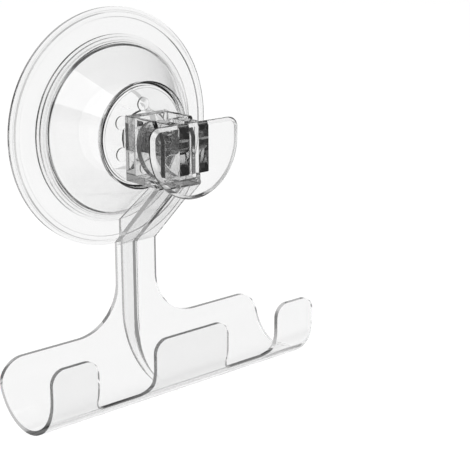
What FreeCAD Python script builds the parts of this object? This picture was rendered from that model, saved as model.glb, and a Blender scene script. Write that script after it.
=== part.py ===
import FreeCAD, Part
import Sketcher
import math
import os

# Suction cup hook with three prongs, locked by a cam lever.
# Frame: origin at the centre of the cup's wall face, wall plane Y = 0 with the
# room on the -Y side, +Z up, hook channel along X. Lengths in millimetres.
# "depth" is the distance from the wall, so a point at a depth lies at Y = -depth.

os.makedirs("parts", exist_ok=True)
doc = FreeCAD.newDocument("suction_cup_hook")
sheet = doc.addObject("Spreadsheet::Sheet", "Sizes")


class Size:
    """A number together with the sheet expression that it comes from."""

    def __init__(self, value, text):
        self.value = value
        self.text = text

    def joined(self, other, sign, result, swapped=False):
        other_text = other.text if isinstance(other, Size) else repr(float(other))
        first = other_text if swapped else self.text
        second = self.text if swapped else other_text
        return Size(result, "(" + first + " " + sign + " " + second + ")")

    def __add__(self, other):
        return self.joined(other, "+", self.value + number(other))

    def __radd__(self, other):
        return self.joined(other, "+", number(other) + self.value, True)

    def __sub__(self, other):
        return self.joined(other, "-", self.value - number(other))

    def __rsub__(self, other):
        return self.joined(other, "-", number(other) - self.value, True)

    def __mul__(self, other):
        return self.joined(other, "*", self.value * number(other))

    def __rmul__(self, other):
        return self.joined(other, "*", number(other) * self.value, True)

    def __truediv__(self, other):
        return self.joined(other, "/", self.value / number(other))

    def __neg__(self):
        return Size(-self.value, "(-1 * " + self.text + ")")


def number(quantity):
    return quantity.value if isinstance(quantity, Size) else float(quantity)


rows = 0
touching = 0.01
sharp_turn = math.radians(60.0)


def size(alias, value, note):
    """Writes one driving dimension into the sheet and returns it."""
    global rows
    rows += 1
    sheet.set("A%d" % rows, note)
    sheet.set("B%d" % rows, repr(float(value)))
    sheet.setAlias("B%d" % rows, alias)
    return Size(float(value), "Sizes." + alias)


# Suction cup
cup_reach = size("cup_reach", 9.2, "how far the sealing lip reaches beyond the cover")
lip_edge = size("lip_edge", 0.8, "upright edge of the lip")
lip_bevel = size("lip_bevel", 1.35, "inward run of the bevel above the lip edge")
cup_rim_depth = size("cup_rim_depth", 1.9, "depth of the cup's front face near the lip")
lip_width = size("lip_width", 5.0, "width of the flat sealing ring on the wall")
cup_hollow = size("cup_hollow", 1.2, "depth of the shallow hollow against the wall")
hollow_slope = size("hollow_slope", 9.0, "radial run from the sealing ring into the hollow")
seat_depth = size("seat_depth", 2.5, "depth of the cup's ring under the cover's rim")
cup_boss_radius = size("cup_boss_radius", 10.5, "radius of the thick centre boss")
boss_room = size("boss_room", 4.4, "space between the centre boss and the cover's face")
cone_room = size("cone_room", 4.6, "space between the cup's cone and the cover's wall")

# Stem
foot_radius = size("foot_radius", 8.0, "radius of the stem's foot disc")
foot_depth = size("foot_depth", 5.0, "depth of the wall side of the foot")
foot_thickness = size("foot_thickness", 2.0, "thickness of the foot disc")
shaft_width = size("shaft_width", 10.0, "width of the shaft along X")
shaft_height = size("shaft_height", 7.6, "height of the shaft along Z")
shaft_gap = size("shaft_gap", 0.2, "sliding gap all round the shaft")
mould_gap = size("mould_gap", 0.03, "play between the foot and the cup moulded round it")
tongue_width = size("tongue_width", 4.0, "width of the tongue between the cheeks")
shaft_back_gap = size("shaft_back_gap", 0.6, "gap between the shaft's shoulder and the cams")

# Cover
rim_step = size("rim_step", 1.0, "radial step of each ring on the cover's foot")
rim_rise = size("rim_rise", 1.0, "height of the first ring on the cover's foot")
rim_rise_second = size("rim_rise_second", 0.8, "height of the second ring")
rim_rise_third = size("rim_rise_third", 0.7, "height of the third ring")
cover_seat_gap = size("cover_seat_gap", 0.1, "gap between the cover's rim and the cup")
cone_foot_radius = size("cone_foot_radius", 30.6, "radius of the cone's lower edge")
rim_ledge = size("rim_ledge", 0.7, "ledge between the last ring and the cone")
ledge_rise = size("ledge_rise", 0.6, "rise from the last ring to the cone's lower edge")
face_radius = size("face_radius", 18.75, "radius of the cover's front edge")
face_depth = size("face_depth", 19.9, "depth of the raised ring round the front face")
face_ring = size("face_ring", 1.5, "width of the raised ring")
face_recess = size("face_recess", 0.8, "how far the front face lies behind the ring")
cover_wall = size("cover_wall", 2.0, "wall of the cover")
edge_round = size("edge_round", 0.8, "rounding of the cover's front edge")
collar_radius = size("collar_radius", 8.8, "radius of the collar round the stem")
lobe_pitch = size("lobe_pitch", 10.9, "radius on which the lobes lie")
lobe_radius = size("lobe_radius", 2.4, "radius of each lobe")
lobe_height = size("lobe_height", 0.6, "height of each lobe over the recessed face")
lobe_count = size("lobe_count", 6, "number of lobes")

# Lever and pin
pivot_drop = size("pivot_drop", 0.5, "height of the stem's axis below the cup's centre")
cam_open = size("cam_open", 8.0, "cam radius with the lever open")
cam_throw = size("cam_throw", 2.0, "how much further the cam reaches with the lever closed")
cam_gap = size("cam_gap", 0.15, "gap between the cam and the head's back wall")
cheek_width = size("cheek_width", 4.0, "width of each cam cheek")
cheek_gap = size("cheek_gap", 0.2, "gap between each cheek and the tongue")
cheek_drop = size("cheek_drop", 1.2, "how far the cheeks widen down towards the plate")
plate_reach = size("plate_reach", 10.7, "distance from the pivot to the back of the thumb plate")
plate_thickness = size("plate_thickness", 3.0, "thickness of the thumb plate")
plate_radius = size("plate_radius", 18.7, "radius of the plate's rounded lower edge")
plate_top = size("plate_top", 8.4, "height of the plate's straight top edge")
plate_arc_height = size("plate_arc_height", 1.3, "height of the centre of the plate's arc")
plate_corner = size("plate_corner", 4.0, "radius of the plate's top corners")
plate_edge = size("plate_edge", 0.6, "bevel of the plate's front edges")
pin_radius = size("pin_radius", 2.0, "radius of the pivot pin")
pin_gap = size("pin_gap", 0.05, "running clearance of the pin")
pin_recess = size("pin_recess", 0.1, "how far the pin's ends lie inside the cheeks")

# Hook arm
head_back_wall = size("head_back_wall", 4.25, "back wall of the head, which the cams press on")
head_wall = size("head_wall", 1.9, "side walls of the head")
head_side_gap = size("head_side_gap", 0.4, "gap between each cheek and the head's side")
head_top = size("head_top", 8.0, "height of the head's top edge")
head_floor = size("head_floor", 2.2, "floor of the head")
floor_gap = size("floor_gap", 0.3, "gap between the cheeks and the head's floor")
head_reach = size("head_reach", 3.9, "how far the head reaches in front of the pivot")
head_slope = size("head_slope", 3.0, "how far the head's top leans back")
arm_wall = size("arm_wall", 1.65, "wall of the neck and of the channel")
neck_depth = size("neck_depth", 14.0, "depth of the front of the upright neck")
rib_width = size("rib_width", 2.4, "thickness of the rib behind the neck")
rib_depth = size("rib_depth", 7.4, "how far the rib stands off the upright neck")
rib_room = size("rib_room", 1.2, "space between the rib and the cover's cone, measured upwards")
channel_radius = size("channel_radius", 16.35, "outer radius of the channel")
channel_half = size("channel_half", 57.8, "half the length of the channel")
back_height = size("back_height", 4.3, "height of the back wall's top over the channel's axis")
back_corner = size("back_corner", 9.0, "radius of the back wall's top corners")
neck_fillet = size("neck_fillet", 17.5, "radius from the neck into the back wall")
neck_straight = size("neck_straight", 13.6, "straight stretch of the upright neck")
prong_height = size("prong_height", 9.8, "height of the prongs' tips over the channel's axis")
prong_corner = size("prong_corner", 5.0, "radius of the prongs' corners")
outer_prong = size("outer_prong", 18.0, "width of each outer prong")
prong_gap_inner = size("prong_gap_inner", 16.1, "half width of the middle prong")
gap_drop = size("gap_drop", 9.5, "how far the gaps reach below the channel's axis")
gap_corner = size("gap_corner", 4.5, "radius of the gaps' lower corners")
lip_bevel_run = size("lip_bevel_run", 0.3, "bevel of the channel's thin edges")

doc.recompute()

# What follows from the sizes
rim_depth = seat_depth + cover_seat_gap
first_ring = rim_depth + rim_rise
second_ring = first_ring + rim_rise_second
third_ring = second_ring + rim_rise_third
cone_foot_depth = third_ring + ledge_rise
cover_rim_radius = cone_foot_radius + rim_ledge + rim_step * 2
inner_face = face_depth - face_recess - cover_wall
cup_radius = cover_rim_radius + cup_reach
cup_boss_depth = inner_face - boss_room
cup_cone_radius = cone_foot_radius - cover_wall - cone_room
cheek_outer = tongue_width / 2 + cheek_gap + cheek_width
neck_half = cheek_outer + head_side_gap + head_wall
head_back = face_depth
head_inner_depth = head_back + head_back_wall
cam_closed = cam_open + cam_throw
pivot_depth = head_inner_depth + cam_gap + cam_closed
plate_depth = pivot_depth + plate_reach
head_front = pivot_depth + head_reach
quarter = math.pi / 2.0
slope = cam_throw / quarter
cheek_bottom = pivot_drop + slope + cam_closed
cheek_fall = cheek_drop * head_reach / plate_reach
head_bottom = cheek_bottom + cheek_fall + floor_gap + head_floor
neck_sum = head_front + head_bottom
neck_kink = neck_sum - neck_depth
back_top = neck_kink + neck_straight + neck_fillet
channel_centre = back_top + back_height
channel_depth = neck_depth - arm_wall + channel_radius
prong_top = channel_centre - prong_height
prong_gap_outer = channel_half - outer_prong
gap_floor = channel_centre + gap_drop
inner_radius = channel_radius - arm_wall
lean = math.sqrt(2.0)
far = size("cut_margin", 3.0, "how far each cutting profile runs past the solid")


# Helpers for sketches and features

def origin_plane(body, role):
    for feature in body.Origin.OriginFeatures:
        if feature.Role == role:
            return feature
    raise RuntimeError("no plane " + role)


def new_body(label):
    body = doc.addObject("PartDesign::Body", label)
    body.Label = label
    return body


def new_sketch(body, name, role, offset=None):
    sketch = body.newObject("Sketcher::SketchObject", name)
    sketch.AttachmentSupport = [(origin_plane(body, role), "")]
    sketch.MapMode = "FlatFace"
    if offset is not None:
        sketch.AttachmentOffset.Base.z = number(offset)
        sketch.setExpression(".AttachmentOffset.Base.z", offset.text)
    return sketch


def bind(sketch, constraint, quantity):
    index = sketch.addConstraint(constraint)
    if isinstance(quantity, Size):
        sketch.setExpression("Constraints[%d]" % index, quantity.text)


def fix_point(sketch, geo, pos, x, y):
    """Ties a point to the sketch's origin by its two coordinates."""
    for kind, axis, value in (("DistanceX", -2, x), ("DistanceY", -1, y)):
        amount = number(value)
        if abs(amount) < 1e-9:
            sketch.addConstraint(Sketcher.Constraint("PointOnObject", geo, pos, axis))
        elif amount > 0:
            bind(sketch, Sketcher.Constraint(kind, -1, 1, geo, pos, amount), value)
        else:
            bind(sketch, Sketcher.Constraint(kind, geo, pos, -1, 1, -amount), 0 - value)


def outline(sketch, corners):
    """Draws one closed loop. A corner is (x, y), or (x, y, radius, turn) when an arc
    leads to it: turn is 1 where the arc bends left, and -1 where it bends right."""
    count = len(corners)
    ends = []
    for index in range(count):
        start = corners[index]
        stop = corners[(index + 1) % count]
        x0, y0 = number(start[0]), number(start[1])
        x1, y1 = number(stop[0]), number(stop[1])
        if len(stop) == 2:
            line = Part.LineSegment(FreeCAD.Vector(x0, y0, 0), FreeCAD.Vector(x1, y1, 0))
            geo = sketch.addGeometry(line, False)
            ends.append((geo, 1, 2, None))
            continue
        radius, turn = number(stop[2]), stop[3]
        chord = math.hypot(x1 - x0, y1 - y0)
        rise = math.sqrt(max(radius * radius - chord * chord / 4.0, 0.0))
        centre_x = (x0 + x1) / 2.0 - turn * rise * (y1 - y0) / chord
        centre_y = (y0 + y1) / 2.0 + turn * rise * (x1 - x0) / chord
        first = math.atan2(y0 - centre_y, x0 - centre_x)
        last = math.atan2(y1 - centre_y, x1 - centre_x)
        if turn < 0:
            first, last = last, first
        if last < first:
            last += 2.0 * math.pi
        circle = Part.Circle(FreeCAD.Vector(centre_x, centre_y, 0), FreeCAD.Vector(0, 0, 1), radius)
        geo = sketch.addGeometry(Part.ArcOfCircle(circle, first, last), False)
        ends.append((geo, 1, 2, stop[2]) if turn > 0 else (geo, 2, 1, stop[2]))
    for index in range(count):
        geo, start_pos, stop_pos, radius = ends[index]
        after = ends[(index + 1) % count]
        sketch.addConstraint(Sketcher.Constraint("Coincident", geo, stop_pos, after[0], after[1]))
        fix_point(sketch, geo, start_pos, corners[index][0], corners[index][1])
        if radius is not None:
            bind(sketch, Sketcher.Constraint("Radius", geo, number(radius)), radius)


def disc(sketch, x, y, radius):
    circle = Part.Circle(FreeCAD.Vector(number(x), number(y), 0), FreeCAD.Vector(0, 0, 1), number(radius))
    geo = sketch.addGeometry(circle, False)
    fix_point(sketch, geo, 3, x, y)
    bind(sketch, Sketcher.Constraint("Radius", geo, number(radius)), radius)


def box_corners(x0, y0, x1, y1):
    return [(x0, y0), (x1, y0), (x1, y1), (x0, y1)]


def pad(body, name, sketch, length, middle=False, backwards=False):
    feature = body.newObject("PartDesign::Pad", name)
    feature.Profile = sketch
    feature.Length = number(length)
    feature.setExpression("Length", length.text)
    if middle:
        feature.SideType = "Symmetric"
    feature.Reversed = backwards
    doc.recompute()
    return feature


def pocket(body, name, sketch, length, middle=False, backwards=False):
    before = body.Shape.Volume
    feature = body.newObject("PartDesign::Pocket", name)
    feature.Profile = sketch
    feature.Length = number(length)
    feature.setExpression("Length", length.text)
    if middle:
        feature.SideType = "Symmetric"
    feature.Reversed = backwards
    doc.recompute()
    if body.Shape.Volume >= before - touching:
        raise RuntimeError(name + " removed nothing")
    return feature


def turned(body, name, kind, sketch):
    """Revolves a profile of (radius, -depth) points about the Y axis."""
    feature = body.newObject(kind, name)
    feature.Profile = sketch
    feature.ReferenceAxis = (sketch, ["V_Axis"])
    feature.Angle = 360.0
    doc.recompute()
    return feature


def dress_edges(body, name, kind, setting, amount, wanted):
    """Rounds or bevels the edges of the current shape that the test picks out."""
    base = body.Tip
    names = ["Edge%d" % (i + 1) for i, edge in enumerate(base.Shape.Edges) if wanted(edge)]
    if not names:
        raise RuntimeError(name + " found no edge")
    feature = body.newObject(kind, name)
    feature.Base = (base, names)
    setattr(feature, setting, number(amount))
    feature.setExpression(setting, amount.text)
    doc.recompute()
    return feature


def round_edges(body, name, radius, wanted):
    return dress_edges(body, name, "PartDesign::Fillet", "Radius", radius, wanted)


def bevel_edges(body, name, run, wanted):
    return dress_edges(body, name, "PartDesign::Chamfer", "Size", run, wanted)


# Suction cup: a shallow disc with a thick boss that holds the stem's foot
cup = new_body("suction_cup")
section = new_sketch(cup, "cup_section", "XY_Plane")
outline(section, [
    (0, -cup_hollow),
    (cup_radius - lip_width - hollow_slope, -cup_hollow),
    (cup_radius - lip_width, 0),
    (cup_radius, 0),
    (cup_radius, -lip_edge),
    (cup_radius - lip_bevel, -cup_rim_depth),
    (cover_rim_radius + rim_step, -seat_depth),
    (cup_cone_radius, -seat_depth),
    (cup_boss_radius + foot_thickness, -(foot_depth + foot_thickness)),
    (cup_boss_radius, -cup_boss_depth),
    (0, -cup_boss_depth),
])
turned(cup, "cup_disc", "PartDesign::Revolution", section)
foot_room = new_sketch(cup, "foot_room_section", "XY_Plane")
outline(foot_room, box_corners(0, -foot_depth, foot_radius + mould_gap, -(foot_depth + foot_thickness)))
turned(cup, "foot_room", "PartDesign::Groove", foot_room)
shaft_room = new_sketch(cup, "shaft_room_outline", "XZ_Plane", cup_boss_depth)
outline(shaft_room, box_corners(-shaft_width / 2 - mould_gap, -pivot_drop - shaft_height / 2 - mould_gap,
                                shaft_width / 2 + mould_gap, shaft_height / 2 - pivot_drop + mould_gap))
pocket(cup, "shaft_room", shaft_room, cup_boss_depth - foot_depth - foot_thickness / 2)

# Stem: foot disc, shaft, and a tongue with a round end that carries the pin
stem = new_body("stem")
foot = new_sketch(stem, "foot_outline", "XZ_Plane", foot_depth)
disc(foot, 0, 0, foot_radius)
pad(stem, "foot_disc", foot, foot_thickness)
shaft = new_sketch(stem, "shaft_outline", "XZ_Plane", foot_depth)
outline(shaft, box_corners(-shaft_width / 2, -pivot_drop - shaft_height / 2,
                           shaft_width / 2, shaft_height / 2 - pivot_drop))
shaft_end = head_inner_depth - shaft_back_gap
pad(stem, "shaft_block", shaft, shaft_end - foot_depth)
tongue = new_sketch(stem, "tongue_outline", "YZ_Plane")
outline(tongue, [
    (-foot_depth - foot_thickness, -pivot_drop - shaft_height / 2),
    (-foot_depth - foot_thickness, shaft_height / 2 - pivot_drop),
    (-pivot_depth, shaft_height / 2 - pivot_drop),
    (-pivot_depth - shaft_height / 2, -pivot_drop, shaft_height / 2, 1),
    (-pivot_depth, -pivot_drop - shaft_height / 2, shaft_height / 2, 1),
])
pad(stem, "tongue_plate", tongue, tongue_width, middle=True)
pin_hole = new_sketch(stem, "pin_hole_outline", "YZ_Plane")
disc(pin_hole, -pivot_depth, -pivot_drop, pin_radius + pin_gap)
pocket(stem, "pin_hole", pin_hole, tongue_width + far, middle=True)

# Cover: a shell with a stepped foot, cone flank, raised ring, recessed face and collar
cover = new_body("dome_cover")
cone_run = (cone_foot_radius - face_radius) / (face_depth - cone_foot_depth)
shell = new_sketch(cover, "cover_section", "XY_Plane")
outline(shell, [
    (cone_foot_radius - cover_wall, -rim_depth),
    (cover_rim_radius, -rim_depth),
    (cover_rim_radius, -first_ring),
    (cover_rim_radius - rim_step, -first_ring),
    (cover_rim_radius - rim_step, -second_ring),
    (cover_rim_radius - rim_step * 2, -second_ring),
    (cover_rim_radius - rim_step * 2, -third_ring),
    (cone_foot_radius, -cone_foot_depth),
    (face_radius, -face_depth),
    (face_radius - face_ring, -face_depth),
    (face_radius - face_ring, -(face_depth - face_recess)),
    (collar_radius, -(face_depth - face_recess)),
    (collar_radius, -face_depth),
    (0, -face_depth),
    (0, -inner_face),
    (face_radius - cover_wall + cone_run * cover_wall, -inner_face),
    (cone_foot_radius - cover_wall, -cone_foot_depth),
])
turned(cover, "cover_shell", "PartDesign::Revolution", shell)
lobe = new_sketch(cover, "lobe_outline", "XZ_Plane", face_depth - face_recess - cover_wall / 2)
disc(lobe, 0, lobe_pitch, lobe_radius)
lobe_pad = pad(cover, "lobe_pad", lobe, lobe_height + cover_wall / 2)
lobes = cover.newObject("PartDesign::PolarPattern", "lobe_ring")
lobes.Originals = [lobe_pad]
lobes.Axis = (shell, ["V_Axis"])
lobes.Angle = 360.0
lobes.Occurrences = int(number(lobe_count))
lobes.setExpression("Occurrences", lobe_count.text)
cover.Tip = lobes
doc.recompute()
stem_hole = new_sketch(cover, "stem_hole_outline", "XZ_Plane", face_depth)
outline(stem_hole, box_corners(-shaft_width / 2 - shaft_gap, -pivot_drop - shaft_height / 2 - shaft_gap,
                               shaft_width / 2 + shaft_gap, shaft_height / 2 - pivot_drop + shaft_gap))
pocket(cover, "stem_hole", stem_hole, face_recess + cover_wall + far)


def on_front_edge(edge):
    bounds = edge.BoundBox
    front = -number(face_depth)
    return (abs(bounds.YMax - front) < touching and abs(bounds.YMin - front) < touching
            and abs(bounds.XMax - number(face_radius)) < touching)


round_edges(cover, "cover_edge", edge_round, on_front_edge)

# Hook arm: channel, upright neck, slanted neck, rib and head in one moulding
arm = new_body("hook_arm")
wall_lean = arm_wall * lean
side = new_sketch(arm, "channel_section", "YZ_Plane")
back_inner = -neck_depth
back_outer = -(neck_depth - arm_wall)
front_outer = -(channel_depth + channel_radius)
front_inner = -(channel_depth + inner_radius)
outline(side, [
    (back_inner, -neck_kink),
    (back_inner, -channel_centre),
    (-channel_depth, -channel_centre - inner_radius, inner_radius, -1),
    (front_inner, -channel_centre, inner_radius, -1),
    (front_inner, -prong_top),
    (front_outer, -prong_top),
    (front_outer, -channel_centre),
    (-channel_depth, -channel_centre - channel_radius, channel_radius, 1),
    (back_outer, -channel_centre, channel_radius, 1),
    (back_outer, -neck_kink + wall_lean - arm_wall),
])
pad(arm, "channel", side, channel_half * 2, middle=True)

# Front view of the back wall: what is cut away beside the upright neck
for name, sign in (("neck_side_right", 1), ("neck_side_left", -1)):
    trim = new_sketch(arm, name + "_outline", "XZ_Plane", channel_depth)
    outline(trim, [
        (neck_half * sign, -neck_kink + neck_half),
        (neck_half * sign, -back_top + neck_fillet),
        ((neck_half + neck_fillet) * sign, -back_top, neck_fillet, sign),
        ((channel_half - back_corner) * sign, -back_top),
        (channel_half * sign, -back_top - back_corner, back_corner, -sign),
        ((channel_half + far) * sign, -back_top - back_corner),
        ((channel_half + far) * sign, -neck_kink + neck_half),
    ])
    pocket(arm, name, trim, channel_depth)

# Front view of the prongs: what is cut away above and between them
prongs = new_sketch(arm, "prong_outline", "XZ_Plane", channel_depth + channel_radius + far)
right_side = [
    (prong_gap_inner - prong_corner, -prong_top),
    (prong_gap_inner, -prong_top - prong_corner, prong_corner, -1),
    (prong_gap_inner, -gap_floor + gap_corner),
    (prong_gap_inner + gap_corner, -gap_floor, gap_corner, 1),
    (prong_gap_outer - gap_corner, -gap_floor),
    (prong_gap_outer, -gap_floor + gap_corner, gap_corner, 1),
    (prong_gap_outer, -prong_top - prong_corner),
    (prong_gap_outer + prong_corner, -prong_top, prong_corner, -1),
    (channel_half - prong_corner, -prong_top),
    (channel_half, -prong_top - prong_corner, prong_corner, -1),
    (channel_half + far, -prong_top - prong_corner),
    (channel_half + far, -prong_top + far),
]
left_side = []
for index in range(len(right_side) - 1, -1, -1):
    corner = right_side[index]
    following = right_side[index + 1] if index + 1 < len(right_side) else ()
    left_side.append((-corner[0], corner[1]) + tuple(following[2:]))
outline(prongs, right_side + left_side)
pocket(arm, "prong_gaps", prongs, channel_radius + far)


def surface_normal(face, point):
    return face.normalAt(*face.Surface.parameter(point))


def on_thin_edge(edge):
    """True for the sharp edges of the channel below the neck, on both faces of its wall."""
    if edge.BoundBox.ZMax > touching - number(neck_kink + arm_wall):
        return False
    middle = edge.valueAt((edge.FirstParameter + edge.LastParameter) / 2.0)
    faces = arm.Tip.Shape.ancestorsOfType(edge, Part.Face)
    if len(faces) != 2:
        return False
    turn = surface_normal(faces[0], middle).getAngle(surface_normal(faces[1], middle))
    return turn > sharp_turn and edge.Length > number(arm_wall) + touching


bevel_edges(arm, "channel_bevel", lip_bevel_run, on_thin_edge)

# Slanted neck
slant = new_sketch(arm, "slant_section", "YZ_Plane")
outline(slant, [
    (-neck_depth, -neck_kink),
    (-head_front, -head_bottom),
    (-head_front, -head_bottom + head_floor / 2),
    (-head_front + wall_lean - head_floor / 2, -head_bottom + head_floor / 2),
    (-neck_depth + arm_wall, -neck_kink + wall_lean - arm_wall),
    (-neck_depth + arm_wall, -neck_kink - arm_wall),
    (-neck_depth, -neck_kink - arm_wall),
])
pad(arm, "slanted_neck", slant, neck_half * 2, middle=True)

# Rib on the wall side: it follows the cover's cone, then runs down to the bottom of the channel
rib_back = neck_depth - arm_wall - rib_depth
rib_kink = cone_foot_radius - (rib_back - cone_foot_depth) * cone_run + rib_room
rib_top_depth = cone_foot_depth + (cone_foot_radius + rib_room - head_bottom) / cone_run
rib_turn = channel_depth - rib_back
inner_lean = arm_wall / 2 * lean
middle_radius = channel_radius - arm_wall / 2
rib = new_sketch(arm, "rib_section", "YZ_Plane")
outline(rib, [
    (-rib_back, -rib_kink),
    (-rib_top_depth, -head_bottom),
    (-rib_top_depth, -head_bottom + head_floor / 2),
    (-head_front + arm_wall / 2, -head_bottom + head_floor / 2),
    (-neck_depth + arm_wall / 2, -neck_kink + inner_lean - arm_wall / 2),
    (-neck_depth + arm_wall / 2, -channel_centre),
    (-channel_depth, -channel_centre - middle_radius, middle_radius, -1),
    (-channel_depth, -channel_centre - channel_radius),
    (-rib_back, -channel_centre - channel_radius + rib_turn, rib_turn, 1),
])
pad(arm, "rib", rib, rib_width, middle=True)

# Head: a back wall on the collar, a floor and two sides round the lever's hub
head = new_sketch(arm, "head_side", "YZ_Plane")
outline(head, [
    (-head_back, -head_bottom),
    (-head_back, head_top),
    (-head_front + head_slope, head_top),
    (-head_front, head_top - head_slope * 2),
    (-head_front, -head_bottom),
])
pad(arm, "head_block", head, neck_half * 2, middle=True)
hub_room = new_sketch(arm, "hub_room_outline", "XZ_Plane", head_front + far)
outline(hub_room, box_corners(-(cheek_outer + head_side_gap), -head_bottom + head_floor,
                              cheek_outer + head_side_gap, head_top + far))
pocket(arm, "hub_room", hub_room, head_front + far - head_inner_depth)
arm_hole = new_sketch(arm, "arm_hole_outline", "XZ_Plane", head_inner_depth)
outline(arm_hole, box_corners(-shaft_width / 2 - shaft_gap, -pivot_drop - shaft_height / 2 - shaft_gap,
                              shaft_width / 2 + shaft_gap, shaft_height / 2 - pivot_drop + shaft_gap))
pocket(arm, "arm_hole", arm_hole, head_inner_depth - head_back + far)

# Lever: thumb plate with two cheeks, whose back is a cam that rises evenly with the turn
lever = new_body("lever")
thumb = new_sketch(lever, "plate_outline", "XZ_Plane", plate_depth)
outline(thumb, [
    (plate_radius, plate_arc_height, plate_radius, 1),
    (plate_radius, plate_top - plate_corner),
    (plate_radius - plate_corner, plate_top, plate_corner, 1),
    (-(plate_radius - plate_corner), plate_top),
    (-plate_radius, plate_top - plate_corner, plate_corner, 1),
    (-plate_radius, plate_arc_height),
    (0, plate_arc_height - plate_radius, plate_radius, 1),
])
pad(lever, "thumb_plate", thumb, plate_thickness)


def plate_front_edge(edge):
    bounds = edge.BoundBox
    front = -number(plate_depth) - number(plate_thickness)
    return abs(bounds.YMax - front) < touching and abs(bounds.YMin - front) < touching


bevel_edges(lever, "plate_bevel", plate_edge, plate_front_edge)


def cam_point(share):
    """A point of the cam, for the share of the opening turn that is still to come."""
    turn = quarter * share
    reach = cam_open + cam_throw * share
    return (-pivot_depth + reach * math.sin(turn) + slope * math.cos(turn),
            -pivot_drop + reach * math.cos(turn) - slope * math.sin(turn))


cam_arcs = 3
cheek_corners = [
    (-plate_depth - plate_thickness / 2, cam_open - pivot_drop),
    (-plate_depth - plate_thickness / 2, -cheek_bottom - cheek_drop),
    (-plate_depth, -cheek_bottom - cheek_drop),
    (-pivot_depth, -cheek_bottom),
    cam_point(1.0) + (cam_closed, 1),
]
for index in range(cam_arcs - 1, -1, -1):
    middle_share = (index + 0.5) / cam_arcs
    cheek_corners.append(cam_point(index / cam_arcs) + (cam_open + cam_throw * middle_share, 1))
cheek = new_sketch(lever, "cheek_section", "YZ_Plane")
outline(cheek, cheek_corners)
pad(lever, "cheeks", cheek, cheek_outer * 2, middle=True)
slot = new_sketch(lever, "slot_section", "YZ_Plane")
outline(slot, box_corners(-plate_depth, -plate_radius, -head_back, plate_top + far))
pocket(lever, "cheek_slot", slot, tongue_width + cheek_gap * 2, middle=True)
bore = new_sketch(lever, "pin_bore_outline", "YZ_Plane")
disc(bore, -pivot_depth, -pivot_drop, pin_radius + pin_gap)
pocket(lever, "pin_bore", bore, cheek_outer * 2 + far, middle=True)

# Pivot pin through both cheeks and the tongue
pin = new_body("pivot_pin")
pin_end = new_sketch(pin, "pin_outline", "YZ_Plane")
disc(pin_end, -pivot_depth, -pivot_drop, pin_radius)
pad(pin, "pin_rod", pin_end, (cheek_outer - pin_recess) * 2, middle=True)

# Checks before anything is written
doc.recompute()
for entry in doc.Objects:
    if "Invalid" in entry.State or "Error" in entry.State:
        raise RuntimeError("failed object: " + entry.Label + " " + str(entry.State))
bodies = [cup, stem, cover, arm, lever, pin]
for body in bodies:
    shape = body.Shape
    if shape.isNull() or not shape.isValid() or len(shape.Solids) != 1:
        raise RuntimeError("bad shape: " + body.Label)
    box = shape.BoundBox
    print("%-12s volume %9.1f  X %7.2f..%7.2f  Y %7.2f..%7.2f  Z %7.2f..%7.2f" % (
        body.Label, shape.Volume, box.XMin, box.XMax, box.YMin, box.YMax, box.ZMin, box.ZMax))
for body in bodies:
    body.Shape.exportStep("parts/" + body.Label + ".step")
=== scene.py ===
# %% [markdown]
# # A clear suction cup hook with three prongs
# The real hook is moulded from clear plastic: a soft cup that sits on the wall, a stiff cover that
# presses on it, a hook arm with a long channel, and a lever that locks the cover by pulling on the cup's
# stem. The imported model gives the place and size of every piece. This script draws each of them again
# with the small steps, grooves and soft edges that catch the light, and gives each its own clear plastic.
#
# All lengths in the outlines below are in millimetres, as a toolmaker would write them. They are turned
# into metres where a mesh is made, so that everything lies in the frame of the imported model.

# %% The frame
import math

import bmesh
import bpy
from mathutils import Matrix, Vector


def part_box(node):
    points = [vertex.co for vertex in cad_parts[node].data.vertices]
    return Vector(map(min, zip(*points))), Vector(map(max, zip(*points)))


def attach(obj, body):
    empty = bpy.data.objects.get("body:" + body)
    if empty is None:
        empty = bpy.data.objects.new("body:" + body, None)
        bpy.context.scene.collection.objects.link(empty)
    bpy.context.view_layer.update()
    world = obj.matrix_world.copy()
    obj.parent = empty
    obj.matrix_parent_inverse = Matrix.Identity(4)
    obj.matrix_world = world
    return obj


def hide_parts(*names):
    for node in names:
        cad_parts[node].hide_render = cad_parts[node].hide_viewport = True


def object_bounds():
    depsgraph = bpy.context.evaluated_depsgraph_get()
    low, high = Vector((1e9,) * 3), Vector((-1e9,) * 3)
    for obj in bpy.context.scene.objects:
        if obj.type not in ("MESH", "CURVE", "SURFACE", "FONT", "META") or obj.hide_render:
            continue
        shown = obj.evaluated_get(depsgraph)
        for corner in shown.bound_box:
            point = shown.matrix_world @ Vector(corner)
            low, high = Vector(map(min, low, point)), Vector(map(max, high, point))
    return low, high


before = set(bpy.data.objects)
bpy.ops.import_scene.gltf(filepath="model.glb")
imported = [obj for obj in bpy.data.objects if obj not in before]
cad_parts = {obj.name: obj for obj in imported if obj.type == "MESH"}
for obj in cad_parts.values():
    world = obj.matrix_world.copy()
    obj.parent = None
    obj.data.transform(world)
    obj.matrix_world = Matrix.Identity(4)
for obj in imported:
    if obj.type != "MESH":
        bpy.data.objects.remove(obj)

mm = 0.001
cad_low, cad_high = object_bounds()
print("frame from", [round(x, 4) for x in cad_low], "to", [round(x, 4) for x in cad_high])

# %% [markdown]
# ## The camera
# It stands in front of the hook, to its left and a little above it, with a long lens. Its place came from
# the ellipses of the cup and from the channel's parallel edges. A wide lens close by would show the same
# pieces, but it would make the channel's near end larger than its far end, and the picture shows them
# nearly alike.

# %% Camera
camera_place = Vector((-261.7, -360.1, 84.8)) * mm
camera_azimuth = math.radians(-41.71)
camera_elevation = math.radians(15.70)
sensor_width, focal_length = 36.0, 96.92

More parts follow.
